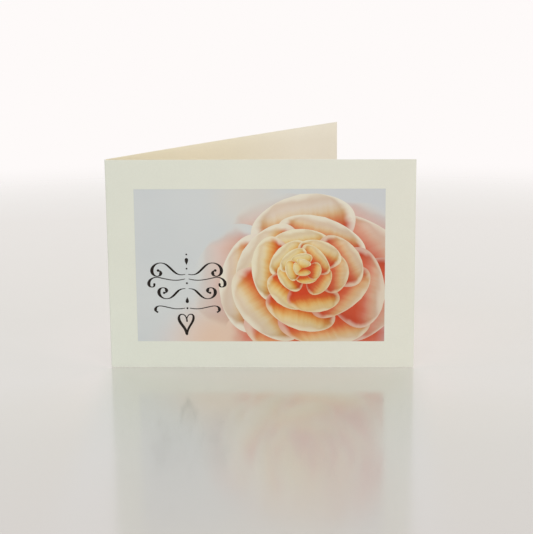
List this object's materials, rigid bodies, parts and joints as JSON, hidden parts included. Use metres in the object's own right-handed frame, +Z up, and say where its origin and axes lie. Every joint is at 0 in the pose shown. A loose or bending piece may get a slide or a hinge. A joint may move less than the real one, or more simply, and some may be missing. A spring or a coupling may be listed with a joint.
{
  "type": "greeting card",
  "caption": "A landscape folded greeting card of cream card stock, standing open on its lower edges, with a printed picture panel on the front",
  "frame": {"origin": "middle of the footprint's box, on the surface that the card stands on", "axes": "+X runs along the front panel away from the fold, +Y from the front panel towards the back one, +Z up along the fold"},
  "size_m": [0.1502, 0.0998, 0.105],
  "materials": {
    "card_stock": "matt uncoated cream card stock, printed on the front panel"
  },
  "bodies": {
    "root": {"folded_card": "card_stock"}
  },
  "joints": []
}
